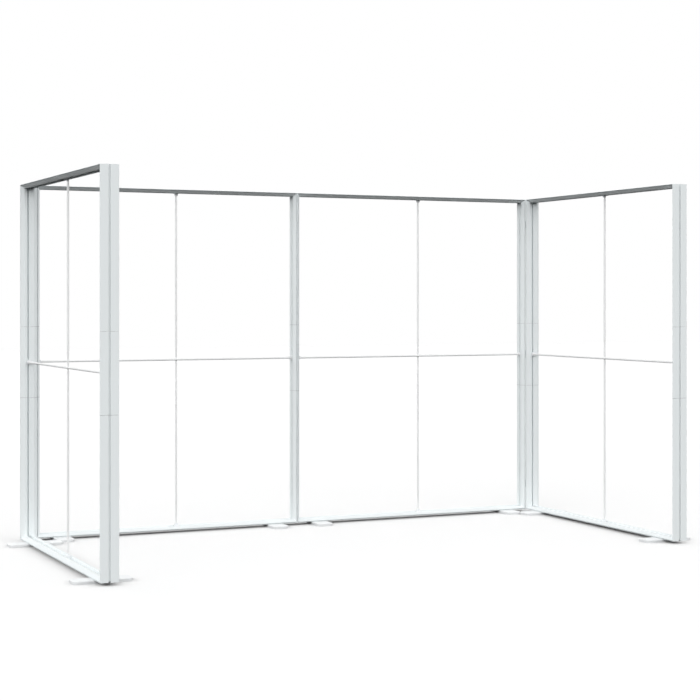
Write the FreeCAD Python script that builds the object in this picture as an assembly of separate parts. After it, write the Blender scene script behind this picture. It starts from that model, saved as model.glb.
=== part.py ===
import FreeCAD, Part
import math
import os

# A U-shaped lightbox display wall: four identical open frames, two side by side at the back and one on
# each side, all built from one hollow aluminium profile and standing on swivelling feet. Millimetres,
# +Z up, origin on the floor at the middle of the whole stand's footprint.

# Frame
frame_width = 2000.0
frame_height = 2500.0
floor_gap = 20.0            # bottom of the frames above the floor
post_end_length = 1000.0    # lower and upper length of a post, the middle length takes the rest
joint_gap = 1.0             # open line left where two lengths of profile meet

# Profile section, measured across the wall (depth) and from its outer face inwards (rise)
profile_depth = 120.0
profile_rise = 25.0
ridge_setback = 25.0        # from the fabric face to the ridge of the inner side
lip = 3.0                   # outer lip that hides the fabric's edge
lip_bevel = 1.5
wall = 2.0
edge_slot_width = 3.5       # slot that grips the fabric's silicone edge
edge_slot_depth = 16.0
edge_slot_setback = 2.5     # the slot's inner side stands behind the lip by the fabric's thickness
groove_mouth = 12.0         # T-groove along the outer face
groove_depth = 6.0
channel_width = 32.0        # open channel along the inner side, and the groove's width inside

# Hidden joining pieces
fit = 0.2                   # clearance of a joining piece inside the profile, on each side
splice_length = 160.0
bracket_arm = 110.0

# Stabiliser bars and the clips that hold their ends
bar_width = 15.0            # flat tube, its broad side in the frame's plane
bar_depth = 10.0
bar_wall = 1.2
bar_gap = 0.4               # between the two bars where they cross
upright_setback = 1.0       # upright bar behind the frame's mid-plane, the level bar lies before it
bar_shift = 54.0            # upright bar from the middle of the frame
clip_length = 36.0          # along the profile
clip_flange = 3.0
clip_flange_overhang = 4.0
clip_wall = 4.0             # round the bar's seat
clip_height = 14.0
clip_clearance = 0.1
clip_mouth = 3.0            # how far the seat's open side reaches past the bar's middle

# Links between neighbouring frames
link_height = 60.0
link_end_inset = 200.0      # from the frame's top and bottom to the middle of the outer links
link_leg = 8.0              # thickness of a corner link's legs

# Feet
foot_length = 380.0
foot_width = 124.0
foot_corner_radius = 30.0
foot_bevel = 3.0            # round the upper edge
foot_clearance = 0.5        # between the foot and the rail above it
foot_corner_pass = 12.0     # how far the rounded corners of two feet pass each other at an inside corner
pivot_diameter = 10.0       # stud on the foot
pivot_clearance = 0.08
pivot_block_length = 40.0   # block in the rail's T-groove that the stud turns in
pivot_end_gap = 0.5         # above the stud's end

# Light
strip_width = 14.0
strip_thickness = 1.6
strip_lens_width = 9.0
strip_lens_height = 5.0
strip_lens_bevel = 2.0
strip_end_margin = 45.0
strip_clip_margin = 10.0
driver_length = 240.0
driver_height = 11.0
driver_side_gap = 1.0
driver_bevel = 2.0
driver_floor_distance = 150.0
inlet_width = 14.0
inlet_height = 7.0
inlet_depth = 12.0

# Worked-out sizes
half_depth = profile_depth / 2
ridge = half_depth - ridge_setback
channel_floor = groove_depth + wall
level_advance = bar_depth + bar_gap - upright_setback
clip_seat = profile_rise + clip_flange
foot_inset = foot_length / 2 + foot_width / 2 - half_depth - foot_corner_pass    # pivot from a frame's end
front_plane = (frame_width - half_depth - foot_length / 2) / 2

Z_AXIS = FreeCAD.Vector(0, 0, 1)


def at(depth, rise, along=0.0):
    """Point of a member's own frame: rise along X, depth along Y, length along Z."""
    return FreeCAD.Vector(rise, depth, along)


def outline(corners):
    """Closed wire through (point, radius) corners, each radius a tangent arc in place of the corner."""
    stretches = []
    for i, (point, radius) in enumerate(corners):
        if not radius:
            stretches.append((point, None, point))
            continue
        before = (corners[i - 1][0] - point).normalize()
        after = (corners[(i + 1) % len(corners)][0] - point).normalize()
        half_angle = before.getAngle(after) / 2
        reach = radius / math.tan(half_angle)
        middle = point + (before + after).normalize() * (radius / math.sin(half_angle) - radius)
        stretches.append((point + before * reach, middle, point + after * reach))
    edges = []
    for i, (start, middle, end) in enumerate(stretches):
        if middle is not None:
            edges.append(Part.Arc(start, middle, end).toShape())
        following = stretches[(i + 1) % len(stretches)][0]
        if end.distanceToPoint(following) > 1e-6:
            edges.append(Part.LineSegment(end, following).toShape())
    return Part.Wire(edges)


def plate(corners, direction):
    """Solid swept from a flat outline along a vector."""
    return Part.Face(outline(corners)).extrude(direction)


def slope_inside(rise, clearance=0.0):
    """Depth of the sloping wall's inner surface, or a clearance short of it, at a given rise."""
    foot_depth = half_depth - edge_slot_setback
    foot_rise = lip + edge_slot_width
    run = foot_depth - ridge
    climb = profile_rise - foot_rise
    inwards = (wall + clearance) * math.hypot(run, climb) / climb
    return foot_depth - (rise - foot_rise) * run / climb - inwards


def mirrored(corners):
    """The corners followed by their mirror images in depth, in reverse order."""
    opposite = [(FreeCAD.Vector(p.x, -p.y, p.z), radius) for p, radius in reversed(corners)]
    return corners + opposite


def profile_face():
    """Cross-section of the frame profile: a fabric slot on both faces, a T-groove outside, a channel
    inside and a hollow chamber on each side of the channel."""
    slot_floor = half_depth - edge_slot_depth
    slot_top = lip + edge_slot_width
    slot_front = half_depth - edge_slot_setback
    outer = mirrored([
        (at(channel_width / 2, groove_depth), 0),
        (at(channel_width / 2, wall), 0),
        (at(groove_mouth / 2, wall), 0),
        (at(groove_mouth / 2, 0), 0),
        (at(half_depth - lip_bevel, 0), 0),
        (at(half_depth, lip_bevel), 0),
        (at(half_depth, lip), 0),
        (at(slot_floor, lip), 0),
        (at(slot_floor, slot_top), 0),
        (at(slot_front, slot_top), 0),
        (at(ridge, profile_rise), 0),
        (at(channel_width / 2, profile_rise), 0),
        (at(channel_width / 2, channel_floor), 0),
    ])
    face = Part.Face(outline(outer))
    inner_rise = profile_rise - wall
    slot_back = slot_top + wall
    for side in (1, -1):
        chamber = [
            (at(side * (channel_width / 2 + wall), wall), 0),
            (at(side * (slot_floor - wall), wall), 0),
            (at(side * (slot_floor - wall), slot_back), 0),
            (at(side * slope_inside(slot_back), slot_back), 0),
            (at(side * slope_inside(inner_rise), inner_rise), 0),
            (at(side * (channel_width / 2 + wall), inner_rise), 0),
        ]
        face = face.cut(Part.Face(outline(chamber)))
    return face.Faces[0]


PROFILE = profile_face()


def mitre_wedge(total, far_end):
    """Block that takes the 45 degree mitre off one end of a member of the given total length."""
    over = profile_rise + 1
    if far_end:
        corner_heights = (total + 1, total + 1, total - over)
    else:
        corner_heights = (-1, -1, over)
    side = -half_depth - 1
    points = [at(side, rise, height) for rise, height in zip((-1, over, over), corner_heights)]
    return plate([(point, 0) for point in points], FreeCAD.Vector(0, profile_depth + 2, 0))


def member_length(start, end, total):
    """One length of profile along Z: mitred at a member's own end, square at a joint."""
    low = start if start == 0 else start + joint_gap / 2
    high = end if end == total else end - joint_gap / 2
    solid = PROFILE.extrude(FreeCAD.Vector(0, 0, high - low))
    solid.translate(FreeCAD.Vector(0, 0, low))
    if start == 0:
        solid = solid.cut(mitre_wedge(total, far_end=False))
    if end == total:
        solid = solid.cut(mitre_wedge(total, far_end=True))
    return solid.Solids[0]


def chamber_pair(shape_of_side):
    """The same joining piece in both chambers, given as a function of the side (1 or -1)."""
    return [shape_of_side(1), shape_of_side(-1)]


chamber_low = wall + fit
chamber_high = profile_rise - wall - fit
chamber_near = channel_width / 2 + wall + fit
chamber_far = slope_inside(chamber_high, fit)


def splices(joint):
    """Bars inside the chambers across a joint at the given height of a member."""
    def bar(side):
        low = joint - splice_length / 2
        rises = (chamber_low, chamber_high, chamber_high, chamber_low)
        depths = (chamber_near, chamber_near, chamber_far, chamber_far)
        section = [(at(side * depth, rise, low), 0) for rise, depth in zip(rises, depths)]
        return plate(section, FreeCAD.Vector(0, 0, splice_length))
    return chamber_pair(bar)


def corner_brackets():
    """L-shaped pieces inside the chambers at a mitred corner between a post and a rail."""
    low, high, arm = chamber_low, chamber_high, bracket_arm
    legs = [(low, low), (arm, low), (arm, high), (high, high), (high, arm), (low, arm)]

    def bracket(side):
        section = [(at(side * chamber_near, rise, along), 0) for rise, along in legs]
        return plate(section, FreeCAD.Vector(0, side * (chamber_far - chamber_near), 0))
    return chamber_pair(bracket)


def oblong(depth, along, low, half_depths, half_length):
    """Corners of a rectangle square to a member's rise, centred on a depth and a place along it."""
    signs = ((-1, -1), (1, -1), (1, 1), (-1, 1))
    return [(at(depth + d * half_depths, low, along + a * half_length), 0) for d, a in signs]


def bar_clip(along, depth):
    """Plug in the channel with a flange on the ridges and a U-shaped seat that a bar's end snaps into from
    the frame's nearer face."""
    end = clip_length / 2
    plug_section = oblong(0, along, channel_floor, channel_width / 2 - fit, end - clip_wall)
    plug = plate(plug_section, FreeCAD.Vector(profile_rise - channel_floor, 0, 0))
    flange_section = oblong(0, along, profile_rise, channel_width / 2 + clip_flange_overhang, end)
    flange = plate(flange_section, FreeCAD.Vector(clip_flange, 0, 0))
    back = -(bar_depth / 2 + clip_clearance)
    side = bar_width / 2 + clip_clearance
    outer_back = back - clip_wall
    outer_side = side + clip_wall
    face = math.copysign(1, depth)
    seat = [(clip_mouth, -outer_side), (clip_mouth, -side), (back, -side), (back, side),
            (clip_mouth, side), (clip_mouth, outer_side), (outer_back, outer_side), (outer_back, -outer_side)]
    section = [(at(depth + face * d, clip_seat, along + a), 0) for d, a in seat]
    cradle = plate(section, FreeCAD.Vector(clip_height, 0, 0))
    return plug.fuse([flange, cradle]).removeSplitter().Solids[0]


def bar(total, along, depth):
    """Flat tube from the seat of one clip to the seat of the opposite one, square to the member."""
    length = FreeCAD.Vector(total - 2 * clip_seat, 0, 0)
    half_deep = bar_depth / 2
    half_wide = bar_width / 2
    tube = plate(oblong(depth, along, clip_seat, half_deep, half_wide), length)
    bore_section = oblong(depth, along, clip_seat, half_deep - bar_wall, half_wide - bar_wall)
    return tube.cut(plate(bore_section, length)).Solids[0]


def light_strip(start, end):
    """Board with a bevelled lens bar on the floor of the channel, from one height of a member to another."""
    board_top = channel_floor + strip_thickness
    lens_top = board_top + strip_lens_height
    section = mirrored([
        (at(strip_width / 2, channel_floor, start), 0),
        (at(strip_width / 2, board_top, start), 0),
        (at(strip_lens_width / 2, board_top, start), 0),
        (at(strip_lens_width / 2, lens_top - strip_lens_bevel, start), 0),
        (at(strip_lens_width / 2 - strip_lens_bevel, lens_top, start), 0),
    ])
    return plate(section, FreeCAD.Vector(0, 0, end - start))


def driver():
    """Slim power supply on the floor of a post's channel, with its inlet in the lower end."""
    half = channel_width / 2 - driver_side_gap
    top = channel_floor + driver_height
    low = driver_floor_distance - floor_gap
    section = mirrored([
        (at(half, channel_floor, low), 0),
        (at(half, top - driver_bevel, low), 0),
        (at(half - driver_bevel, top, low), 0),
    ])
    body = plate(section, FreeCAD.Vector(0, 0, driver_length))
    middle = channel_floor + driver_height / 2
    inlet = mirrored([
        (at(inlet_width / 2, middle - inlet_height / 2, low), 0),
        (at(inlet_width / 2, middle + inlet_height / 2, low), 0),
    ])
    return body.cut(plate(inlet, FreeCAD.Vector(0, 0, inlet_depth))).Solids[0]


def foot():
    """Low block along a frame's depth, with a stud that turns in the rail."""
    half_length = foot_length / 2
    half_width = foot_width / 2
    base = -floor_gap
    corners = [(-half_width, -half_length), (half_width, -half_length),
               (half_width, half_length), (-half_width, half_length)]
    section = [(FreeCAD.Vector(x, y, base), foot_corner_radius) for x, y in corners]
    thickness = floor_gap - foot_clearance
    sole = plate(section, FreeCAD.Vector(0, 0, thickness))
    rim = [edge for edge in sole.Edges if edge.BoundBox.ZMin > base + thickness / 2]
    sole = sole.makeChamfer(foot_bevel, rim)
    centre = FreeCAD.Vector(0, 0, base)
    stud_top = groove_depth - fit - pivot_end_gap
    stud = Part.makeCylinder(pivot_diameter / 2, floor_gap + stud_top, centre)
    return sole.fuse(stud).removeSplitter().Solids[0]


def pivot_block():
    """Block in the T-groove of a bottom rail, bored for a foot's stud."""
    low = wall + fit
    high = groove_depth - fit
    half_width = channel_width / 2 - fit
    half_length = pivot_block_length / 2
    corners = [(-half_length, -half_width), (half_length, -half_width),
               (half_length, half_width), (-half_length, half_width)]
    block = plate([(FreeCAD.Vector(x, y, low), 0) for x, y in corners], FreeCAD.Vector(0, 0, high - low))
    bore = Part.makeCylinder(pivot_diameter / 2 + pivot_clearance, groove_depth)
    return block.cut(bore).Solids[0]


def key_half():
    """Outline of a T-shaped key from a groove's mouth to its floor, one side, outwards negative."""
    head_top = groove_depth - fit
    head_low = wall + fit
    return [(channel_width / 2 - fit, head_top), (channel_width / 2 - fit, head_low),
            (groove_mouth / 2 - fit, head_low)]


def seam_link(height):
    """Double T-key in the facing grooves of two frames that stand side by side."""
    quarter = [FreeCAD.Vector(rise, depth, height) for depth, rise in key_half()]
    right = mirrored([(point, 0) for point in quarter])
    left = [(FreeCAD.Vector(-p.x, -p.y, p.z), 0) for p, _ in right]
    return plate(right[3:] + right[:3] + left[3:] + left[:3], Z_AXIS * link_height)


def corner_link(height):
    """Right-angled link behind an inside corner: a T-key on each leg, one in either frame's end groove.
    Its own origin is where the two frames touch, with one leg ending at X = 0 and the other at Y = 0."""
    neck_end = -(wall + fit)
    key = [(depth, -rise) for depth, rise in key_half()]
    neck = groove_mouth / 2 - fit
    leg = link_leg / 2
    elbow = half_depth
    head = [(elbow - leg, 0), (elbow - neck, 0), (elbow - neck, neck_end)]
    head += [(elbow - depth, out) for depth, out in reversed(key[:2])]
    head += [(elbow + depth, out) for depth, out in key[:2]]
    head += [(elbow + neck, neck_end), (elbow + neck, 0), (elbow + leg, 0)]
    inner_elbow = [(elbow - leg, elbow - leg)]
    outer_elbow = [(elbow + leg, elbow + leg)]
    other_head = [(y, x) for x, y in reversed(head)]
    path = inner_elbow + head + outer_elbow + other_head
    return plate([(FreeCAD.Vector(-x, y, height), 0) for x, y in path], Z_AXIS * link_height)


# Where the members stand in a frame: each turns a member's own frame into the frame's
LEFT_POST = FreeCAD.Placement()
RIGHT_POST = FreeCAD.Placement(FreeCAD.Vector(frame_width, 0, 0), FreeCAD.Rotation(Z_AXIS, 180))
BOTTOM_RAIL = FreeCAD.Placement(FreeCAD.Vector(), FreeCAD.Rotation(FreeCAD.Vector(1, 0, 1), 180))
TOP_RAIL = FreeCAD.Placement(FreeCAD.Vector(0, 0, frame_height),
                             FreeCAD.Rotation(FreeCAD.Vector(0, 1, 0), 90))
TURNED_TOP = FreeCAD.Placement(FreeCAD.Vector(frame_width, 0, frame_height),
                               FreeCAD.Rotation(FreeCAD.Vector(0, 1, 0), 180))
TURNED_LEFT = FreeCAD.Placement(FreeCAD.Vector(0, 0, frame_height),
                                FreeCAD.Rotation(FreeCAD.Vector(1, 0, 0), 180))


def placed(shape, placement):
    """Copy of a shape moved from its own frame by a placement."""
    copy = shape.copy()
    copy.Placement = placement.multiply(copy.Placement)
    return copy


post_joints = (post_end_length, frame_height - post_end_length)
rail_joint = frame_width / 2
upright_bar_place = rail_joint + bar_shift

POST_LENGTHS = {
    "lower": member_length(0, post_joints[0], frame_height),
    "middle": member_length(post_joints[0], post_joints[1], frame_height),
    "upper": member_length(post_joints[1], frame_height, frame_height),
}
RAIL_LENGTHS = [
    member_length(0, rail_joint, frame_width),
    member_length(rail_joint, frame_width, frame_width),
]


def frame_pieces():
    """Every fixed piece of one frame in its own frame, as lists of solids by kind."""
    pieces = {}
    for end, place in (("left", LEFT_POST), ("right", RIGHT_POST)):
        for level, solid in POST_LENGTHS.items():
            pieces[f"{end}_post_{level}"] = [placed(solid, place)]
    for level, place in (("top", TOP_RAIL), ("bottom", BOTTOM_RAIL)):
        pieces[f"{level}_rail"] = [placed(solid, place) for solid in RAIL_LENGTHS]

    upright_depth = upright_setback
    level_depth = -level_advance
    pieces["upright_bar"] = [placed(bar(frame_height, upright_bar_place, -upright_depth), BOTTOM_RAIL)]
    pieces["level_bar"] = [placed(bar(frame_width, frame_height / 2, level_depth), LEFT_POST)]
    pieces["bar_clips"] = [
        placed(bar_clip(upright_bar_place, -upright_depth), BOTTOM_RAIL),
        placed(bar_clip(upright_bar_place, upright_depth), TOP_RAIL),
        placed(bar_clip(frame_height / 2, level_depth), LEFT_POST),
        placed(bar_clip(frame_height / 2, -level_depth), RIGHT_POST),
    ]

    post_splices = [solid for joint in post_joints for solid in splices(joint)]
    pieces["splices"] = [placed(solid, place) for place in (LEFT_POST, RIGHT_POST) for solid in post_splices]
    pieces["splices"] += [placed(solid, place) for place in (TOP_RAIL, BOTTOM_RAIL)
                          for solid in splices(rail_joint)]
    corners = (LEFT_POST, TURNED_TOP, TURNED_LEFT, RIGHT_POST)
    pieces["corner_brackets"] = [placed(solid, place) for place in corners for solid in corner_brackets()]

    clip_margin = clip_length / 2 + strip_clip_margin
    strips = [
        light_strip(strip_end_margin, rail_joint - strip_end_margin),
        light_strip(upright_bar_place + clip_margin, frame_width - strip_end_margin),
    ]
    pieces["light_strips"] = [placed(solid, place) for place in (TOP_RAIL, BOTTOM_RAIL) for solid in strips]
    return pieces


FRAME = frame_pieces()
DRIVER = driver()
FOOT = foot()
PIVOT_BLOCK = pivot_block()
SEPARATE = [name for name in FRAME if name.endswith(("_lower", "_middle", "_upper", "_rail", "_bar"))]
SHARED = [name for name in FRAME if name not in SEPARATE]

# Frames of the stand: where each one's lower left corner goes, its turn about Z, what its two ends are
# called and which end's post holds the power supply
back_depth = front_plane + half_depth
side_centre = frame_width + half_depth
FRAMES = {
    "left_wall": ((-side_centre, front_plane), -90, {"left": "back", "right": "front"}, RIGHT_POST),
    "back_left": ((-frame_width, back_depth), 0, {"left": "left", "right": "right"}, LEFT_POST),
    "back_right": ((0.0, back_depth), 0, {"left": "left", "right": "right"}, LEFT_POST),
    "right_wall": ((side_centre, front_plane), -90, {"left": "back", "right": "front"}, RIGHT_POST),
}


def stand():
    """All nodes of the stand, as lists of solids by node name."""
    nodes = {name: [] for name in SHARED + ["power_supplies", "foot_pivot_blocks", "seam_links", "corner_links"]}
    for wall_name, (corner, turn, ends, driver_post) in FRAMES.items():
        place = FreeCAD.Placement(FreeCAD.Vector(corner[0], corner[1], floor_gap),
                                  FreeCAD.Rotation(Z_AXIS, turn))
        for name in SEPARATE:
            end = name.split("_")[0]
            named = name.replace(end, ends[end], 1) if end in ends else name
            nodes[f"{wall_name}_{named}"] = [placed(solid, place) for solid in FRAME[name]]
        for name in SHARED:
            nodes[name] += [placed(solid, place) for solid in FRAME[name]]
        nodes["power_supplies"].append(placed(DRIVER, place.multiply(driver_post)))
        for end, along in (("left", foot_inset), ("right", frame_width - foot_inset)):
            pivot_place = place.multiply(FreeCAD.Placement(FreeCAD.Vector(along, 0, 0), FreeCAD.Rotation()))
            nodes[f"{wall_name}_{ends[end]}_foot"] = [placed(FOOT, pivot_place)]
            nodes["foot_pivot_blocks"].append(placed(PIVOT_BLOCK, pivot_place))

    link_middles = (link_end_inset, frame_height / 2, frame_height - link_end_inset)
    for middle in link_middles:
        height = floor_gap + middle - link_height / 2
        seam = FreeCAD.Placement(FreeCAD.Vector(0, back_depth, 0), FreeCAD.Rotation())
        nodes["seam_links"].append(placed(seam_link(height), seam))
        left = FreeCAD.Placement(FreeCAD.Vector(-frame_width, front_plane, 0), FreeCAD.Rotation())
        left_link = placed(corner_link(height), left)
        nodes["corner_links"] += [left_link, left_link.mirror(FreeCAD.Vector(), FreeCAD.Vector(1, 0, 0))]
    return nodes


def main():
    """Write one STEP file for each node."""
    os.makedirs("parts", exist_ok=True)
    for name, solids in stand().items():
        shape = solids[0] if len(solids) == 1 else Part.makeCompound(solids)
        shape.exportStep(f"parts/{name}.step")


main()
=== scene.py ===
import math

import bmesh
import bpy
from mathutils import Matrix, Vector, geometry


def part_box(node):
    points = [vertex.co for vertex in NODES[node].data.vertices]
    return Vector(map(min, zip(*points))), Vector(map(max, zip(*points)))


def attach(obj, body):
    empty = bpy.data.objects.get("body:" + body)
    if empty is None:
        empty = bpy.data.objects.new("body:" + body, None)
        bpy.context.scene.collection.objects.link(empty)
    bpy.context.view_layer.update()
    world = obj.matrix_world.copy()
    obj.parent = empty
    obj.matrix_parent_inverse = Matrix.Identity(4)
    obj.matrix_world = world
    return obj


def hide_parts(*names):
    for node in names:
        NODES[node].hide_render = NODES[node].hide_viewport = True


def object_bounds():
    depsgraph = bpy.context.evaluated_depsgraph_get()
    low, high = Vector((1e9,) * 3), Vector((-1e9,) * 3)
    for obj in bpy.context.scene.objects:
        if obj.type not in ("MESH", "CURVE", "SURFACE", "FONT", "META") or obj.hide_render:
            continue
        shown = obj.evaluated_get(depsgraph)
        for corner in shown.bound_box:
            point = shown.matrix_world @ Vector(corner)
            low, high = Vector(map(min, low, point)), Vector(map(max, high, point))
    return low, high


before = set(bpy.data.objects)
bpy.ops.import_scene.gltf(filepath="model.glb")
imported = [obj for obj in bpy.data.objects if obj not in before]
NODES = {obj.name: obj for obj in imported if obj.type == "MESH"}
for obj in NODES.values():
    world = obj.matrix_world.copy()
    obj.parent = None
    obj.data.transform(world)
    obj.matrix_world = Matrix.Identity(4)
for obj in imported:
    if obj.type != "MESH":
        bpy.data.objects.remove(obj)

bl_info = {
    "name": "Lightbox display wall",
    "version": (1, 0, 0),
    "blender": (4, 5, 0),
    "location": "View3D > Sidebar > Display wall",
    "description": "Dresses a U-shaped wall of open lightbox frames and sets it on a pale studio floor",
    "category": "Object",
}

CAD_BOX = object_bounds()
MM = 0.001
WELD = 0.01 * MM                # points closer together than this are one
TREE_IN = "NodeGroupInput"
TREE_OUT = "NodeGroupOutput"

# Attributes that a tree reads from the mesh it grows
DEPTH_SHARE = "depth_share"     # of a path's point: the tube's depth there as a share of its width
STRIP_RUN = "strip_run"         # of a section's face: the length of the strip drawn up from it

# Grain and colour of the surfaces
GRAIN_DETAIL = 2.0
GRAIN_HEIGHT = 1 / 8            # as a share of the grain's size
ROUGHNESS_SWING = 0.05          # how far the grain shifts the roughness to either side
CLOUDS_PER_METRE = 2.2
CLOUD_DETAIL = 3.0
SHADE_CORE = 0.8                 # share of the painted joint shade's reach that is shaded fully

# Steps of the round and the pressed shapes
TUBE_SIDES = 24
PRESS_STEPS = 5
CAP_SEGMENTS = 14
CAP_RINGS = 8
RIB_SIDES = 12

# Stage and picture
FLOOR_DROP = 0.2 * MM           # how far the floor lies below the feet
RING_SOFTNESS = 0.08            # half the height of the light ring's soft edges, as a sine
PICTURE_SIZE = 700              # pixels
SENSOR_WIDTH = 36.0             # millimetres
VIEW_REACH = 500.0              # metres


def linear(code):
    """Linear colour with alpha from an sRGB hex value."""
    parts = [int(code[i:i + 2], 16) / 255 for i in (1, 3, 5)]
    return (*[c / 12.92 if c <= 0.04045 else ((c + 0.055) / 1.055) ** 2.4 for c in parts], 1.0)


def colour(name, description, code):
    """Colour property with an sRGB hex value as its default."""
    return bpy.props.FloatVectorProperty(name=name, description=description, size=4, subtype="COLOR",
                                         min=0.0, max=1.0, default=linear(code))


def length(name, description, millimetres):
    """Length property whose default is a real size in millimetres."""
    return bpy.props.FloatProperty(name=name, description=description, subtype="DISTANCE", unit="LENGTH",
                                   min=0.0, default=millimetres * MM)


class WallFinishes(bpy.types.PropertyGroup):
    """Colours of the wall's coats, metals and plastics, and the sizes that go with the coats."""

    profile_coat: colour("Profile coat", "Powder coat on the frame profile", "#E5EAEB")
    bar_coat: colour("Bar coat", "Powder coat on the stabiliser bars", "#E9EAEA")
    foot_coat: colour("Foot coat", "Powder coat on the cast feet", "#E9EBEC")
    aluminium: colour("Aluminium", "Bare metal of the joining pieces and links", "#C9CBCE")
    # Painted shade: a grey band drawn along each post joint, where the gap's shadow falls
    joint_shade: colour("Joint shade", "Painted shade along a post joint, where the gap's shadow falls", "#9EA1A4")
    joint_shade_reach: length("Joint shade reach", "How far the painted joint shade reaches from the middle of a joint", 1.1)
    steel: colour("Plated steel", "Zinc plating of the pivot blocks", "#B4B7BB")
    polyamide: colour("Clip plastic", "Moulded polyamide of the bar clips", "#E2E5E7")
    polycarbonate: colour("Lens plastic", "Milky polycarbonate of the light strips", "#F2F4F2")
    case_plastic: colour("Case plastic", "Moulded plastic of the power supplies", "#DADDDF")
    grit: length("Coat grain", "Size of a powder coat's orange peel", 1.6)


class BarTubes(bpy.types.PropertyGroup):
    """Stretches of the stabiliser bars that are pressed flat; their width is the solids' own."""

    seat_length: length("Seat length", "Flat stretch at a bar's end, held by its clip", 16.0)
    crossing_reach: length("Crossing reach", "Flat stretch to either side of a crossing", 10.0)
    press_run: length("Press run", "Stretch over which a bar turns from flat to round", 20.0)


class ChannelCovers(bpy.types.PropertyGroup):
    """Sizes of the posts' channels and of the angle strips that cover one side of them."""

    channel_width: length("Channel width", "Width of the profile's inner channel", 32.0)
    channel_depth: length("Channel depth", "Depth of the inner channel below the profile's ridge", 17.0)
    slot_width: length("Slot width", "Width of the slot that a strip leaves open", 12.0)
    thickness: length("Thickness", "Thickness of a strip", 2.0)
    clearance: length("Clearance", "Gap between a strip and the channel", 0.2)
    end_gap: length("End gap", "Gap between a strip's end and what it meets", 0.5)


class LightPoints(bpy.types.PropertyGroup):
    """Sizes of the lens caps over the light strips' diodes."""

    spacing: length("Spacing", "Distance between neighbouring lens caps", 62.5)
    cap_length: length("Cap length", "Length of a lens cap along its strip", 15.0)
    cap_width: length("Cap width", "Width of a lens cap across its strip", 7.4)
    cap_rise: length("Cap rise", "Height of a lens cap above its strip", 1.8)


class CaseRibs(bpy.types.PropertyGroup):
    """Sizes of the ribs moulded on the power supplies."""

    spacing: length("Spacing", "Distance between neighbouring ribs", 6.0)
    width: length("Width", "Length of a rib across the case", 20.0)
    thickness: length("Thickness", "Diameter of a rib's half-round section", 1.6)
    end_margin: length("End margin", "Plain stretch at either end of the case", 30.0)


class StudioStage(bpy.types.PropertyGroup):
    """Floor, light and camera of the studio."""

    floor: colour("Floor", "Colour of the studio floor", "#F0F0F0")
    floor_size: length("Floor size", "Side of the square floor", 90000.0)
    floor_bounce: bpy.props.FloatProperty(
        name="Floor bounce", description="Share of light that the floor gives back to the wall",
        min=0.0, max=1.0, default=0.01)
    light_strength: bpy.props.FloatProperty(
        name="Light strength", description="Strength of the ring of soft light round the wall",
        min=0.0, default=3.53)
    light_foot: bpy.props.FloatProperty(
        name="Light foot", description="Angle above the horizon where the ring of light begins",
        subtype="ANGLE", default=math.radians(12.5))
    light_top: bpy.props.FloatProperty(
        name="Light top", description="Angle above the horizon where the ring of light ends",
        subtype="ANGLE", default=math.radians(34))
    key_heading: bpy.props.FloatProperty(
        name="Key heading", subtype="ANGLE", default=math.radians(232),
        description="Side that the ring is brightest on, turned from +X about the vertical")
    key_share: bpy.props.FloatProperty(
        name="Key share", description="How much brighter the ring is on that side, as a share of its mean",
        min=0.0, max=1.0, default=0.3)
    zenith: bpy.props.FloatProperty(
        name="Zenith", description="Light from overhead as a share of the ring's", min=0.0, default=0.1)
    camera_place: bpy.props.FloatVectorProperty(
        name="Camera place", description="Where the camera stands", subtype="TRANSLATION", unit="LENGTH",
        default=(-4.8908, -10.7206, 1.7053))
    camera_turn: bpy.props.FloatProperty(
        name="Camera turn", description="Turn of the level camera to the right of the back wall's normal",
        subtype="ANGLE", default=math.radians(24.68))
    focal_pixels: bpy.props.FloatProperty(
        name="Focal length", description="Focal length in pixels of the 700 pixel wide picture",
        default=1659.494)
    horizon_row: bpy.props.FloatProperty(
        name="Horizon row", description="Pixel row of the horizon in the 700 pixel high picture",
        default=300.387)


class WallSettings(bpy.types.PropertyGroup):
    """All settings of the display wall."""

    finishes: bpy.props.PointerProperty(type=WallFinishes)
    bar_tubes: bpy.props.PointerProperty(type=BarTubes)
    channel_covers: bpy.props.PointerProperty(type=ChannelCovers)
    light_points: bpy.props.PointerProperty(type=LightPoints)
    case_ribs: bpy.props.PointerProperty(type=CaseRibs)
    stage: bpy.props.PointerProperty(type=StudioStage)


def add_node(tree, kind, inputs=None, **settings):
    """Add a node with its settings; each input is a value or the socket that feeds it."""
    node = tree.nodes.new(kind)
    for name, value in settings.items():
        setattr(node, name, value)
    for name, value in (inputs or {}).items():
        if isinstance(value, bpy.types.NodeSocket):
            tree.links.new(value, node.inputs[name])
        else:
            node.inputs[name].default_value = value
    return node


def new_material(name):
    """Empty node material; returns it with its tree and its output node."""
    material = bpy.data.materials.new(name)
    material.use_nodes = True
    tree = material.node_tree
    tree.nodes.clear()
    return material, tree, add_node(tree, "ShaderNodeOutputMaterial")


def shade(tint, factor):
    """A colour made darker or lighter by a factor, and opaque."""
    return (*[min(1.0, c * factor) for c in tint[:3]], 1.0)


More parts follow.
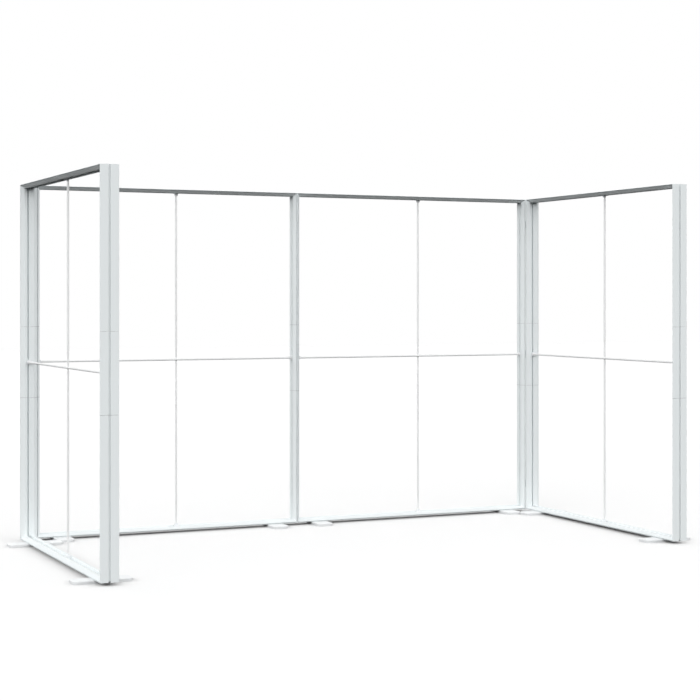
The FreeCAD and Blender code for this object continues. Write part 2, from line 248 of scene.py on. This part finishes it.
def grained_surface(tree, tint, grain, roughness, spread, relief, stretch=(1.0, 1.0, 1.0)):
    """Colour, roughness and normal sockets of a surface with a fine grain of a real size in metres."""
    place = add_node(tree, "ShaderNodeTexCoord").outputs["Object"]
    scaled = add_node(tree, "ShaderNodeMapping", {"Vector": place, "Scale": stretch}).outputs["Vector"]
    fine = add_node(tree, "ShaderNodeTexNoise", {
        "Vector": scaled, "Scale": 1 / grain, "Detail": GRAIN_DETAIL})
    cloudy = add_node(tree, "ShaderNodeTexNoise", {
        "Vector": place, "Scale": CLOUDS_PER_METRE, "Detail": CLOUD_DETAIL})
    mixed = add_node(tree, "ShaderNodeMix", {"Factor": cloudy.outputs["Fac"]}, data_type="RGBA")
    mixed.inputs["A"].default_value = shade(tint, 1 - spread)
    mixed.inputs["B"].default_value = shade(tint, 1 + spread)
    rough = add_node(tree, "ShaderNodeMapRange", {
        "Value": fine.outputs["Fac"],
        "To Min": roughness - ROUGHNESS_SWING, "To Max": roughness + ROUGHNESS_SWING})
    bump = add_node(tree, "ShaderNodeBump", {
        "Strength": relief, "Distance": grain * GRAIN_HEIGHT, "Height": fine.outputs["Fac"]})
    return mixed.outputs["Result"], rough.outputs["Result"], bump.outputs["Normal"]


def painted_joint_shade(tree, coat, metal, heights, reach):
    """Colour socket of a coat that gives way to a painted shade colour within reach of each height."""
    place = add_node(tree, "ShaderNodeTexCoord").outputs["Object"]
    level = add_node(tree, "ShaderNodeSeparateXYZ", {"Vector": place}).outputs["Z"]
    # Painted shade: a band at each joint height, full near the joint and fading out at the reach
    for height in heights:
        away = add_node(tree, "ShaderNodeMath", {0: level, 1: height}, operation="SUBTRACT")
        distance = add_node(tree, "ShaderNodeMath", {0: away.outputs["Value"]}, operation="ABSOLUTE")
        bare = add_node(tree, "ShaderNodeMapRange", {
            "Value": distance.outputs["Value"], "From Min": SHADE_CORE * reach, "From Max": reach,
            "To Min": 1.0, "To Max": 0.0})
        mixed = add_node(tree, "ShaderNodeMix", {"Factor": bare.outputs["Result"], "A": coat},
                         data_type="RGBA")
        mixed.inputs["B"].default_value = metal
        coat = mixed.outputs["Result"]
    return coat


# metal is the colour of the painted joint shade
def powder_coat(name, tint, grain, metal=(0.0, 0.0, 0.0, 1.0), joints=(), reach=0.0):
    """Polyester powder coat, sprayed and baked: an even matt white with a faint orange peel, with painted
    shade in the given grey at the heights of the joints, if any, where the joints' gaps throw their shadow."""
    material, tree, output = new_material(name)
    base, rough, normal = grained_surface(tree, tint, grain, roughness=0.72, spread=0.012, relief=0.12)
    base = painted_joint_shade(tree, base, metal, joints, reach)
    shader = add_node(tree, "ShaderNodeBsdfPrincipled", {
        "Base Color": base, "Roughness": rough, "Normal": normal, "IOR": 1.5, "Specular IOR Level": 0.2})
    tree.links.new(shader.outputs["BSDF"], output.inputs["Surface"])
    return material


def drawn_metal(name, tint, roughness):
    """Extruded or plated metal: bright, with faint lines along the draw, drawn coarser than real to show."""
    material, tree, output = new_material(name)
    line_width = 1.2 * MM
    along_draw = (1.0, 1.0, 0.02)
    base, rough, normal = grained_surface(tree, tint, line_width, roughness, spread=0.04, relief=0.15,
                                          stretch=along_draw)
    shader = add_node(tree, "ShaderNodeBsdfPrincipled", {
        "Base Color": base, "Roughness": rough, "Normal": normal, "Metallic": 1.0})
    tree.links.new(shader.outputs["BSDF"], output.inputs["Surface"])
    return material


def moulded_plastic(name, tint, roughness, grain, ior):
    """Injection-moulded plastic: even colour, a spark-eroded grain from the mould, soft highlights."""
    material, tree, output = new_material(name)
    base, rough, normal = grained_surface(tree, tint, grain, roughness, spread=0.015, relief=0.2)
    shader = add_node(tree, "ShaderNodeBsdfPrincipled", {
        "Base Color": base, "Roughness": rough, "Normal": normal, "IOR": ior})
    tree.links.new(shader.outputs["BSDF"], output.inputs["Surface"])
    return material


def coat_nodes(material, names):
    """Give CAD nodes a material in place of the plain one they were packed with."""
    for name in names:
        slots = NODES[name].data.materials
        slots.clear()
        slots.append(material)


def nodes_ending(*endings):
    """Names of the CAD nodes with one of these endings."""
    return [name for name in NODES if name.endswith(endings)]


def solid_boxes(node):
    """Lowest and highest corner of each separate solid in a CAD node."""
    mesh = bmesh.new()
    mesh.from_mesh(NODES[node].data)
    bmesh.ops.remove_doubles(mesh, verts=mesh.verts, dist=WELD)
    unseen = set(mesh.verts)
    boxes = []
    while unseen:
        first = unseen.pop()
        stack = [first]
        low = first.co.copy()
        high = first.co.copy()
        while stack:
            vertex = stack.pop()
            low = Vector(map(min, low, vertex.co))
            high = Vector(map(max, high, vertex.co))
            neighbours = {edge.other_vert(vertex) for edge in vertex.link_edges} & unseen
            unseen -= neighbours
            stack.extend(neighbours)
        boxes.append((low, high))
    mesh.free()
    return sorted(boxes, key=lambda box: tuple(round(c, 4) for c in (*box[0], *box[1])))


def placed_object(name, mesh):
    """Object of a mesh, in the scene and at the origin."""
    piece = bpy.data.objects.new(name, mesh)
    bpy.context.scene.collection.objects.link(piece)
    return piece


def mesh_object(name, points, edges, faces):
    """Object of a mesh given by its points and what joins them."""
    mesh = bpy.data.meshes.new(name)
    mesh.from_pydata(points, edges, faces)
    return placed_object(name, mesh)


def paths_object(name, paths):
    """Mesh object of open paths."""
    points = []
    edges = []
    for path in paths:
        edges += [(i, i + 1) for i in range(len(points), len(points) + len(path) - 1)]
        points += path
    return mesh_object(name, points, edges, [])


def sections_object(name, sections):
    """Mesh object of level faces, each with a section's corners and turned upwards."""
    points = []
    faces = []
    for section in sections:
        faces.append(range(len(points), len(points) + len(section)))
        points += section if geometry.normal(section).z > 0 else section[::-1]
    return mesh_object(name, points, [], faces)


def set_attribute(piece, name, domain, values):
    """Store a number for each point or face of a mesh object."""
    piece.data.attributes.new(name, "FLOAT", domain).data.foreach_set("value", values)


def tree_with_inputs(name, inputs):
    """Geometry node tree with named inputs beside the shapes that it grows from; returns it, its inputs'
    sockets and their identifiers."""
    tree = bpy.data.node_groups.new(name, "GeometryNodeTree")
    tree.interface.new_socket("Shapes", in_out="INPUT", socket_type="NodeSocketGeometry")
    identifiers = {}
    for label, kind in inputs.items():
        identifiers[label] = tree.interface.new_socket(label, in_out="INPUT", socket_type=kind).identifier
    tree.interface.new_socket("Pieces", in_out="OUTPUT", socket_type="NodeSocketGeometry")
    group_in = add_node(tree, TREE_IN)
    return tree, group_in.outputs, identifiers


def close_tree(tree, instances, material):
    """End a tree: real geometry instead of instances, with its material."""
    real = add_node(tree, "GeometryNodeRealizeInstances", {"Geometry": instances})
    done = add_node(tree, "GeometryNodeSetMaterial", {
        "Geometry": real.outputs["Geometry"], "Material": material})
    add_node(tree, TREE_OUT, {"Pieces": done.outputs["Geometry"]})


def along_paths(tree, paths, spacing, instance, outwards):
    """Instances spaced along paths, their X along the path and their Z outwards."""
    curve = add_node(tree, "GeometryNodeMeshToCurve", {"Mesh": paths})
    points = add_node(tree, "GeometryNodeResampleCurve", {"Curve": curve.outputs["Curve"], "Length": spacing},
                      mode="LENGTH")
    tangent = add_node(tree, "GeometryNodeInputTangent").outputs["Tangent"]
    lengthwise = add_node(tree, "FunctionNodeAlignRotationToVector", {"Vector": tangent}, axis="X")
    upright = add_node(tree, "FunctionNodeAlignRotationToVector", {
        "Rotation": lengthwise.outputs["Rotation"], "Vector": outwards}, axis="Z", pivot_axis="X")
    placed = add_node(tree, "GeometryNodeInstanceOnPoints", {
        "Points": points.outputs["Curve"], "Instance": instance, "Rotation": upright.outputs["Rotation"]})
    return placed.outputs["Instances"]


def bar_tube_tree(material):
    """Tree that sweeps a round tube along a bar and presses it flat, in the facing direction, as far as the
    shares of its path's points say."""
    tree, given, ids = tree_with_inputs("pressed_tube_along_bar", {
        "Diameter": "NodeSocketFloat", "Middle": "NodeSocketVector", "Facing": "NodeSocketVector"})
    curve = add_node(tree, "GeometryNodeMeshToCurve", {"Mesh": given["Shapes"]})
    radius = add_node(tree, "ShaderNodeMath", {0: given["Diameter"], 1: 0.5}, operation="MULTIPLY")
    ring = add_node(tree, "GeometryNodeCurvePrimitiveCircle", {
        "Resolution": TUBE_SIDES, "Radius": radius.outputs["Value"]})
    tube = add_node(tree, "GeometryNodeCurveToMesh", {
        "Curve": curve.outputs["Curve"], "Profile Curve": ring.outputs["Curve"], "Fill Caps": True})
    place = add_node(tree, "GeometryNodeInputPosition").outputs["Position"]
    apart = add_node(tree, "ShaderNodeVectorMath", {0: place, 1: given["Middle"]}, operation="SUBTRACT")
    depth = add_node(tree, "ShaderNodeVectorMath", {0: apart.outputs["Vector"], 1: given["Facing"]},
                     operation="DOT_PRODUCT").outputs["Value"]
    share = add_node(tree, "GeometryNodeInputNamedAttribute", {"Name": DEPTH_SHARE}, data_type="FLOAT")
    kept = add_node(tree, "ShaderNodeMath", {0: depth, 1: share.outputs["Attribute"]}, operation="MULTIPLY")
    change = add_node(tree, "ShaderNodeMath", {0: kept.outputs["Value"], 1: depth}, operation="SUBTRACT")
    offset = add_node(tree, "ShaderNodeVectorMath", {0: given["Facing"], "Scale": change.outputs["Value"]},
                      operation="SCALE")
    pressed = add_node(tree, "GeometryNodeSetPosition", {
        "Geometry": tube.outputs["Mesh"], "Offset": offset.outputs["Vector"]})
    bare = add_node(tree, "GeometryNodeRemoveAttribute", {
        "Geometry": pressed.outputs["Geometry"], "Name": DEPTH_SHARE})
    smooth = add_node(tree, "GeometryNodeSetShadeSmooth", {"Geometry": bare.outputs["Geometry"]})
    close_tree(tree, smooth.outputs["Geometry"], material)
    return tree, ids


def strip_tree(material):
    """Tree that draws straight strips up from their sections, each as long as its section's face says."""
    tree, given, ids = tree_with_inputs("strips_up_from_sections", {"Upwards": "NodeSocketVector"})
    run = add_node(tree, "GeometryNodeInputNamedAttribute", {"Name": STRIP_RUN}, data_type="FLOAT")
    drawn = add_node(tree, "GeometryNodeExtrudeMesh", {
        "Mesh": given["Shapes"], "Offset": given["Upwards"], "Offset Scale": run.outputs["Attribute"],
        "Individual": True}, mode="FACES")
    lower_ends = add_node(tree, "GeometryNodeFlipFaces", {"Mesh": given["Shapes"]})
    parts = add_node(tree, "GeometryNodeJoinGeometry", {"Geometry": drawn.outputs["Mesh"]})
    tree.links.new(lower_ends.outputs["Mesh"], parts.inputs["Geometry"])
    closed = add_node(tree, "GeometryNodeMergeByDistance", {
        "Geometry": parts.outputs["Geometry"], "Distance": WELD})
    bare = add_node(tree, "GeometryNodeRemoveAttribute", {
        "Geometry": closed.outputs["Geometry"], "Name": STRIP_RUN})
    close_tree(tree, bare.outputs["Geometry"], material)
    return tree, ids


def lens_cap_tree(material):
    """Tree that sets low oval lens caps along the light strips: the upper halves of sunk, flattened balls."""
    tree, given, ids = tree_with_inputs("lens_caps_along_strips", {
        "Spacing": "NodeSocketFloat", "Cap length": "NodeSocketFloat", "Cap width": "NodeSocketFloat",
        "Cap rise": "NodeSocketFloat", "Outwards": "NodeSocketVector"})
    cap_size = add_node(tree, "ShaderNodeCombineXYZ", {
        "X": given["Cap length"], "Y": given["Cap width"], "Z": given["Cap rise"]})
    ball_size = add_node(tree, "ShaderNodeVectorMath", {0: cap_size.outputs["Vector"], 1: (1.0, 1.0, 2.0)},
                         operation="MULTIPLY")
    ball = add_node(tree, "GeometryNodeMeshUVSphere", {
        "Segments": CAP_SEGMENTS, "Rings": CAP_RINGS, "Radius": 0.5})
    cap = add_node(tree, "GeometryNodeTransform", {
        "Geometry": ball.outputs["Mesh"], "Scale": ball_size.outputs["Vector"]})
    smooth = add_node(tree, "GeometryNodeSetShadeSmooth", {"Geometry": cap.outputs["Geometry"]})
    caps = along_paths(tree, given["Shapes"], given["Spacing"], smooth.outputs["Geometry"], given["Outwards"])
    close_tree(tree, caps, material)
    return tree, ids


def case_rib_tree(material):
    """Tree that sets half-sunk round ribs across the power supplies' cases."""
    tree, given, ids = tree_with_inputs("ribs_across_cases", {
        "Spacing": "NodeSocketFloat", "Width": "NodeSocketFloat", "Thickness": "NodeSocketFloat",
        "Outwards": "NodeSocketVector"})
    half = add_node(tree, "ShaderNodeMath", {0: given["Width"], 1: 0.5}, operation="MULTIPLY")
    minus = add_node(tree, "ShaderNodeMath", {0: half.outputs["Value"], 1: -1.0}, operation="MULTIPLY")
    start = add_node(tree, "ShaderNodeCombineXYZ", {"Y": minus.outputs["Value"]})
    end = add_node(tree, "ShaderNodeCombineXYZ", {"Y": half.outputs["Value"]})
    spine = add_node(tree, "GeometryNodeCurvePrimitiveLine", {
        "Start": start.outputs["Vector"], "End": end.outputs["Vector"]})
    radius = add_node(tree, "ShaderNodeMath", {0: given["Thickness"], 1: 0.5}, operation="MULTIPLY")
    round_section = add_node(tree, "GeometryNodeCurvePrimitiveCircle", {
        "Resolution": RIB_SIDES, "Radius": radius.outputs["Value"]})
    rib = add_node(tree, "GeometryNodeCurveToMesh", {
        "Curve": spine.outputs["Curve"], "Profile Curve": round_section.outputs["Curve"], "Fill Caps": True})
    ribs = along_paths(tree, given["Shapes"], given["Spacing"], rib.outputs["Mesh"], given["Outwards"])
    close_tree(tree, ribs, material)
    return tree, ids


def grown_piece(name, source, tree, identifiers, values):
    """Plain mesh piece that a geometry node tree grows from a source object, which isn't kept."""
    modifier = source.modifiers.new("grow", "NODES")
    modifier.node_group = tree
    for label, value in values.items():
        modifier[identifiers[label]] = value
    graph = bpy.context.evaluated_depsgraph_get()
    mesh = bpy.data.meshes.new_from_object(source.evaluated_get(graph))
    bpy.data.objects.remove(source)
    return placed_object(name, mesh)


def joined(name, pieces):
    """One piece made of several that share a material."""
    mesh = bmesh.new()
    for piece in pieces:
        mesh.from_mesh(piece.data)
    whole = pieces[0].data.copy()
    mesh.to_mesh(whole)
    mesh.free()
    for piece in pieces:
        bpy.data.objects.remove(piece)
    return placed_object(name, whole)


def wall_settings():
    """Settings of the wall in the current scene."""
    return bpy.context.scene.display_wall


class WALL_OT_coat_frames(bpy.types.Operator):
    """Powder coat the posts and rails of all four frames, with painted shade along the post joints"""

    bl_idname = "wall.coat_frames"
    bl_label = "Coat frames"

    def execute(self, context):
        finishes = wall_settings().finishes
        rail_coat = powder_coat("white_powder_coat_on_rails", finishes.profile_coat, finishes.grit)
        coat_nodes(rail_coat, nodes_ending("_rail"))
        # The posts' coat carries painted shade at the joints, in place of the gaps' shadow
        post_coat = powder_coat("white_powder_coat_on_posts", finishes.profile_coat, finishes.grit,
                                finishes.joint_shade, self.post_joints(), finishes.joint_shade_reach)
        coat_nodes(post_coat, nodes_ending("_lower", "_middle", "_upper"))
        return {"FINISHED"}

    @staticmethod
    def post_joints():
        """Heights of the joints in a post, halfway across their open lines."""
        spans = [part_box("left_wall_back_post_" + part) for part in ("lower", "middle", "upper")]
        return [(below[1].z + above[0].z) / 2 for below, above in zip(spans, spans[1:])]


class WALL_OT_add_bars(bpy.types.Operator):
    """Draw the upright and level stabiliser bars as pressed tubes, coat them and finish their clips"""

    bl_idname = "wall.add_bars"
    bl_label = "Add bars"

    def execute(self, context):
        settings = wall_settings()
        finishes = settings.finishes
        coat = powder_coat("white_powder_coat_on_tube", finishes.bar_coat, finishes.grit)
        tree, identifiers = bar_tube_tree(coat)
        for node, crossing_node in self.bar_pairs():
            low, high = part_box(node)
            size = high - low
            depth, width, along = sorted(range(3), key=lambda axis: size[axis])
            middle = (low + high) / 2
            crossing = sum(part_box(crossing_node), Vector())[along] / 2 - low[along]
            path = []
            shares = []
            for place, press in self.stations(size[along], crossing, settings.bar_tubes):
                point = middle.copy()
                point[along] = low[along] + place
                path.append(point)
                shares.append(1 - press * (1 - size[depth] / size[width]))
            facing = Vector((0.0, 0.0, 0.0))
            facing[depth] = 1.0
            source = paths_object(node + "_path", [path])
            set_attribute(source, DEPTH_SHARE, "POINT", shares)
            tube = grown_piece(node + "_tube", source, tree, identifiers, {
                "Diameter": size[width], "Middle": middle, "Facing": facing})
            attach(tube, "frames")
            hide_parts(node)
        clip = moulded_plastic("white_polyamide", finishes.polyamide, roughness=0.5, grain=0.8 * MM, ior=1.53)
        coat_nodes(clip, ["bar_clips"])
        return {"FINISHED"}

    @staticmethod
    def bar_pairs():
        """Each bar with the one that crosses it in the same frame."""
        pairs = []
        for upright in nodes_ending("_upright_bar"):
            level = upright.replace("_upright_bar", "_level_bar")
            pairs += [(upright, level), (level, upright)]
        return pairs

    @staticmethod
    def stations(span, crossing, tubes):
        """Places along a bar, each with how far it is pressed flat there, from 0 to 1."""
        end = tubes.seat_length / PRESS_STEPS
        rows = [(0.0, 1.0), (end, 1.0), (span - end, 1.0), (span, 1.0)]
        for centre, reach, sides in ((0.0, tubes.seat_length, (1,)), (span, tubes.seat_length, (-1,)),
                                     (crossing, tubes.crossing_reach, (-1, 1))):
            for side in sides:
                for step in range(PRESS_STEPS + 1):
                    run = step / PRESS_STEPS
                    press = 1 - run * run * (3 - 2 * run)
                    rows.append((centre + side * (reach + run * tubes.press_run), press))
        return sorted(rows)


class WALL_OT_add_channel_covers(bpy.types.Operator):
    """Set angle strips in the posts' channels, which leave a narrow slot open beside them"""

    bl_idname = "wall.add_channel_covers"
    bl_label = "Add channel covers"

    def execute(self, context):
        settings = wall_settings()
        finishes = settings.finishes
        obstacles = solid_boxes("bar_clips") + solid_boxes("power_supplies")
        sections = []
        runs = []
        for node in nodes_ending("_lower", "_middle", "_upper"):
            corners = self.section(node, settings.channel_covers)
            for bottom, top in self.clear_runs(node, obstacles, settings.channel_covers.end_gap):
                sections.append([Vector((x, y, bottom)) for x, y in corners])
                runs.append(top - bottom)
        source = sections_object("channel_cover_sections", sections)
        set_attribute(source, STRIP_RUN, "FACE", runs)
        coat = powder_coat("white_powder_coat_on_covers", finishes.profile_coat, finishes.grit)
        tree, identifiers = strip_tree(coat)
        covers = grown_piece("channel_covers", source, tree, identifiers, {"Upwards": (0.0, 0.0, 1.0)})
        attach(covers, "frames")
        return {"FINISHED"}

    @staticmethod
    def section(node, covers):
        """Corners of a strip's section in a post's channel, as pairs of X and Y."""
        low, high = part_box(node)
        middle = (low + high) / 2
        across, inwards = (0, 1) if high.x - low.x > high.y - low.y else (1, 0)
        wall_name = "_".join(node.split("_")[:2])
        frame_middle = sum(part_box(wall_name + "_bottom_rail"), Vector()) / 2
        faces_plus = frame_middle[inwards] > middle[inwards]
        ridge = high[inwards] if faces_plus else low[inwards]
        deeper = -1 if faces_plus else 1
        side = middle[across] + covers.channel_width / 2 - covers.clearance
        edge = middle[across] - covers.channel_width / 2 + covers.slot_width
        inner_edge = edge + covers.thickness
        foot = covers.channel_depth - covers.clearance
        corners = []
        for place, depth in ((side, 0.0), (side, covers.thickness), (inner_edge, covers.thickness),
                             (inner_edge, foot), (edge, foot), (edge, 0.0)):
            corner = [0.0, 0.0]
            corner[across] = place
            corner[inwards] = ridge + deeper * depth
            corners.append(corner)
        return corners

    @staticmethod
    def clear_runs(node, obstacles, gap):
        """Stretches of a post's channel between the rails and the pieces in it, as pairs of heights."""
        low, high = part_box(node)
        rise = min(high.x - low.x, high.y - low.y)
        bottom = low.z + (rise if node.endswith("_lower") else 0.0)
        top = high.z - (rise if node.endswith("_upper") else 0.0)
        ends = [bottom, top]
        for box_low, box_high in obstacles:
            if all(box_low[axis] < high[axis] and box_high[axis] > low[axis] for axis in range(3)):
                ends += [box_low.z, box_high.z]
        ends.sort()
        return [(start + gap, end - gap) for start, end in zip(ends[::2], ends[1::2])]


class WALL_OT_coat_feet(bpy.types.Operator):
    """Powder coat the swivelling feet and plate the blocks that they turn in"""

    bl_idname = "wall.coat_feet"
    bl_label = "Coat feet"

    def execute(self, context):
        finishes = wall_settings().finishes
        coat = powder_coat("white_powder_coat_on_casting", finishes.foot_coat, finishes.grit)
        coat_nodes(coat, nodes_ending("_foot"))
        plating = drawn_metal("zinc_plated_steel", finishes.steel, roughness=0.38)
        coat_nodes(plating, ["foot_pivot_blocks"])
        return {"FINISHED"}


class WALL_OT_finish_joining_pieces(bpy.types.Operator):
    """Give brackets, splices and links their bare aluminium"""

    bl_idname = "wall.finish_joining_pieces"
    bl_label = "Finish joining pieces"

    def execute(self, context):
        finishes = wall_settings().finishes
        mill_finish = drawn_metal("mill_finish_aluminium", finishes.aluminium, roughness=0.34)
        coat_nodes(mill_finish, ["corner_brackets", "splices"])
        anodised = drawn_metal("anodised_aluminium", finishes.aluminium, roughness=0.42)
        coat_nodes(anodised, ["corner_links", "seam_links"])
        return {"FINISHED"}


class WALL_OT_add_light_points(bpy.types.Operator):
    """Finish the light strips and set lens caps along them"""

    bl_idname = "wall.add_light_points"
    bl_label = "Add light points"

    def execute(self, context):
        settings = wall_settings()
        points = settings.light_points
        lens = moulded_plastic("milky_polycarbonate", settings.finishes.polycarbonate,
                               roughness=0.2, grain=2.0 * MM, ior=1.58)
        coat_nodes(lens, ["light_strips"])
        tree, identifiers = lens_cap_tree(lens)
        boxes = solid_boxes("light_strips")
        middle_height = (CAD_BOX[0].z + CAD_BOX[1].z) / 2
        rows = []
        for label, facing in (("bottom", 1), ("top", -1)):
            chosen = [box for box in boxes if (box[0].z < middle_height) == (facing > 0)]
            paths = [self.strip_path(low, high, facing, points) for low, high in chosen]
            source = paths_object(f"light_point_paths_{label}", paths)
            rows.append(grown_piece(f"light_points_{label}", source, tree, identifiers, {
                "Spacing": points.spacing, "Cap length": points.cap_length, "Cap width": points.cap_width,
                "Cap rise": points.cap_rise, "Outwards": (0.0, 0.0, float(facing))}))
        caps = joined("light_points", rows)
        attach(caps, "frames")
        return {"FINISHED"}

    @staticmethod
    def strip_path(low, high, facing, points):
        """Line along the middle of a strip's inner face, short of its ends by the length of a cap."""
        centre = (low + high) / 2
        centre.z = high.z if facing > 0 else low.z
        lengthwise = Vector((1, 0, 0)) if high.x - low.x > high.y - low.y else Vector((0, 1, 0))
        reach = lengthwise * ((high - low).dot(lengthwise) / 2 - points.cap_length)
        return centre - reach, centre + reach


class WALL_OT_add_case_ribs(bpy.types.Operator):
    """Finish the power supplies and set ribs across their cases"""

    bl_idname = "wall.add_case_ribs"
    bl_label = "Add case ribs"

    def execute(self, context):
        settings = wall_settings()
        ribs = settings.case_ribs
        case = moulded_plastic("white_moulded_case", settings.finishes.case_plastic,
                               roughness=0.55, grain=0.7 * MM, ior=1.5)
        coat_nodes(case, ["power_supplies"])
        tree, identifiers = case_rib_tree(case)
        rows = []
        for i, (low, high) in enumerate(solid_boxes("power_supplies")):
            outwards, face = self.open_side(low, high)
            path = (Vector((face.x, face.y, low.z + ribs.end_margin)),
                    Vector((face.x, face.y, high.z - ribs.end_margin)))
            source = paths_object(f"case_rib_path_{i}", [path])
            rows.append(grown_piece(f"case_ribs_{i}", source, tree, identifiers, {
                "Spacing": ribs.spacing, "Width": ribs.width, "Thickness": ribs.thickness,
                "Outwards": outwards}))
        row = joined("case_ribs", rows)
        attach(row, "frames")
        return {"FINISHED"}

    @staticmethod
    def open_side(low, high):
        """Direction that a case faces out of its channel, and the middle of that face."""
        centre = (low + high) / 2
        if high.x - low.x > high.y - low.y:
            return Vector((0, 1, 0)), Vector((centre.x, high.y, centre.z))
        return Vector((1, 0, 0)), Vector((high.x, centre.y, centre.z))


class WALL_OT_set_stage(bpy.types.Operator):
    """Lay the studio floor, light it softly from all round and place the camera"""

    bl_idname = "wall.set_stage"
    bl_label = "Set stage"

    def execute(self, context):
        stage = wall_settings().stage
        self.lay_floor(stage)
        self.light_room(context.scene, stage)
        self.place_camera(context.scene, stage)
        context.scene.view_settings.view_transform = "Standard"
        return {"FINISHED"}

    @staticmethod
    def seen_ray(tree):
        """Socket that is 1 for rays that show the stage itself: camera, glossy and transmission rays."""
        path = add_node(tree, "ShaderNodeLightPath").outputs
        unbroken = add_node(tree, "ShaderNodeMath", {0: path["Is Camera Ray"], 1: path["Is Glossy Ray"]},
                            operation="MAXIMUM").outputs["Value"]
        return add_node(tree, "ShaderNodeMath", {0: unbroken, 1: path["Is Transmission Ray"]},
                        operation="MAXIMUM").outputs["Value"]

    def lay_floor(self, stage):
        """Lay a matt floor that gives back less light to the wall than it shows."""
        half = stage.floor_size / 2
        level = CAD_BOX[0].z - FLOOR_DROP
        corners = [(-half, -half, level), (half, -half, level), (half, half, level), (-half, half, level)]
        floor = mesh_object("studio_floor", corners, [], [(0, 1, 2, 3)])
        material, tree, output = new_material("matt_studio_floor")
        shown = add_node(tree, "ShaderNodeBsdfDiffuse", {"Color": stage.floor})
        bounce = add_node(tree, "ShaderNodeBsdfDiffuse", {"Color": shade((1, 1, 1), stage.floor_bounce)})
        mixed = add_node(tree, "ShaderNodeMixShader", {
            "Fac": self.seen_ray(tree), 1: bounce.outputs["BSDF"], 2: shown.outputs["BSDF"]})
        tree.links.new(mixed.outputs["Shader"], output.inputs["Surface"])
        floor.data.materials.append(material)

    def light_room(self, scene, stage):
        """Light the wall by a soft ring above the horizon, brightest on one side, before a white ground."""
        world = bpy.data.worlds.new("soft_studio")
        world.use_nodes = True
        tree = world.node_tree
        tree.nodes.clear()
        direction = add_node(tree, "ShaderNodeTexCoord").outputs["Generated"]
        height = add_node(tree, "ShaderNodeSeparateXYZ", {"Vector": direction}).outputs["Z"]
        low = math.sin(stage.light_foot)
        above = add_node(tree, "ShaderNodeMapRange", {
            "Value": height, "From Min": low - RING_SOFTNESS, "From Max": low + RING_SOFTNESS},
            interpolation_type="SMOOTHSTEP")
        high = math.sin(stage.light_top)
        ring = add_node(tree, "ShaderNodeMapRange", {
            "Value": height, "From Min": high - RING_SOFTNESS, "From Max": high + RING_SOFTNESS,
            "To Min": stage.light_strength, "To Max": stage.light_strength * stage.zenith},
            interpolation_type="SMOOTHSTEP")
        key = stage.key_share * Vector((math.cos(stage.key_heading), math.sin(stage.key_heading), 0.0))
        towards = add_node(tree, "ShaderNodeVectorMath", {0: direction, 1: key}, operation="DOT_PRODUCT")
        uneven = add_node(tree, "ShaderNodeMath", {0: towards.outputs["Value"], 1: 1.0}, operation="ADD")
        around = add_node(tree, "ShaderNodeMath", {0: above.outputs["Result"], 1: ring.outputs["Result"]},
                          operation="MULTIPLY")
        strength = add_node(tree, "ShaderNodeMath", {0: around.outputs["Value"], 1: uneven.outputs["Value"]},
                            operation="MULTIPLY")
        white = linear("#FFFFFF")
        lit = add_node(tree, "ShaderNodeBackground", {"Color": white, "Strength": strength.outputs["Value"]})
        shown = add_node(tree, "ShaderNodeBackground", {"Color": white, "Strength": 1.0})
        mixed = add_node(tree, "ShaderNodeMixShader", {
            "Fac": self.seen_ray(tree), 1: lit.outputs["Background"], 2: shown.outputs["Background"]})
        output = add_node(tree, "ShaderNodeOutputWorld")
        tree.links.new(mixed.outputs["Shader"], output.inputs["Surface"])
        scene.world = world

    @staticmethod
    def place_camera(scene, stage):
        """Set up the level camera, with its picture shifted so that the horizon is on its row."""
        data = bpy.data.cameras.new("photograph_view")
        data.sensor_width = SENSOR_WIDTH
        data.lens = stage.focal_pixels / PICTURE_SIZE * SENSOR_WIDTH
        data.shift_y = (stage.horizon_row - PICTURE_SIZE / 2) / PICTURE_SIZE
        data.clip_end = VIEW_REACH
        camera = bpy.data.objects.new("photograph_view", data)
        camera.location = stage.camera_place
        camera.rotation_euler = (math.radians(90), 0.0, -stage.camera_turn)
        scene.collection.objects.link(camera)
        scene.camera = camera


class WALL_PT_panel(bpy.types.Panel):
    """Lists the wall's steps in the sidebar"""

    bl_label = "Display wall"
    bl_idname = "WALL_PT_panel"
    bl_space_type = "VIEW_3D"
    bl_region_type = "UI"
    bl_category = "Display wall"

    def draw(self, context):
        for operator in OPERATORS:
            self.layout.operator(operator.bl_idname)


OPERATORS = (
    WALL_OT_coat_frames,
    WALL_OT_add_bars,
    WALL_OT_add_channel_covers,
    WALL_OT_coat_feet,
    WALL_OT_finish_joining_pieces,
    WALL_OT_add_light_points,
    WALL_OT_add_case_ribs,
    WALL_OT_set_stage,
)
SETTINGS = (WallFinishes, BarTubes, ChannelCovers, LightPoints, CaseRibs, StudioStage, WallSettings)
CLASSES = (*SETTINGS, *OPERATORS, WALL_PT_panel)


def register():
    """Register the classes and the scene's settings."""
    for cls in CLASSES:
        bpy.utils.register_class(cls)
    bpy.types.Scene.display_wall = bpy.props.PointerProperty(type=WallSettings)


def unregister():
    """Remove the scene's settings and the classes."""
    del bpy.types.Scene.display_wall
    for cls in reversed(CLASSES):
        bpy.utils.unregister_class(cls)


def main():
    """Dress the wall and set the stage."""
    register()
    bpy.ops.wall.coat_frames()
    bpy.ops.wall.add_bars()
    bpy.ops.wall.add_channel_covers()
    bpy.ops.wall.coat_feet()
    bpy.ops.wall.finish_joining_pieces()
    bpy.ops.wall.add_light_points()
    bpy.ops.wall.add_case_ribs()
    bpy.ops.wall.set_stage()


if __name__ == "__main__":
    main()
